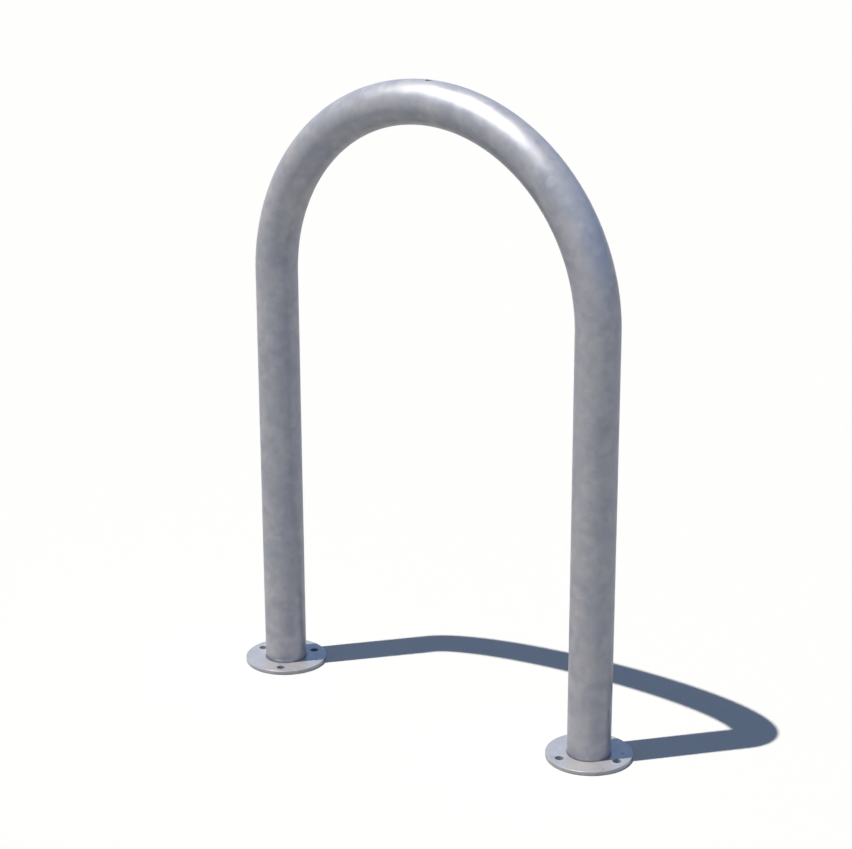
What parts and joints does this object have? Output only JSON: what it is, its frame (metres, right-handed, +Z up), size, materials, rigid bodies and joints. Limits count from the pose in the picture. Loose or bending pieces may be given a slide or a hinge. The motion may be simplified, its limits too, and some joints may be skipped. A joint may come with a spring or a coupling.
{
  "type": "hoop bike rack",
  "caption": "Galvanised steel hoop that a bicycle leans on and locks to: a bent tube welded into round floor plates with anchor holes.",
  "frame": {"origin": "on the ground, midway between the two legs, at the bottom centre of the rack's box", "axes": "+Z up along the legs, +X from the left leg to the right leg, +Y through the hoop, square to its plane"},
  "size_m": [0.6596, 0.12, 0.8998],
  "materials": {
    "galvanised_tube": "hot-dip galvanised, dull grey zinc with faint spangle",
    "galvanised_plate": "hot-dip galvanised, pale zinc on laser-cut plate with rounded edges",
    "galvanised_weld": "weld bead under hot-dip zinc, rippled"
  },
  "bodies": {
    "root": {"hoop_tube": "galvanised_tube", "left_base_plate": "galvanised_plate", "right_base_plate": "galvanised_plate", "left_foot_weld": "galvanised_weld", "right_foot_weld": "galvanised_weld"}
  },
  "joints": []
}
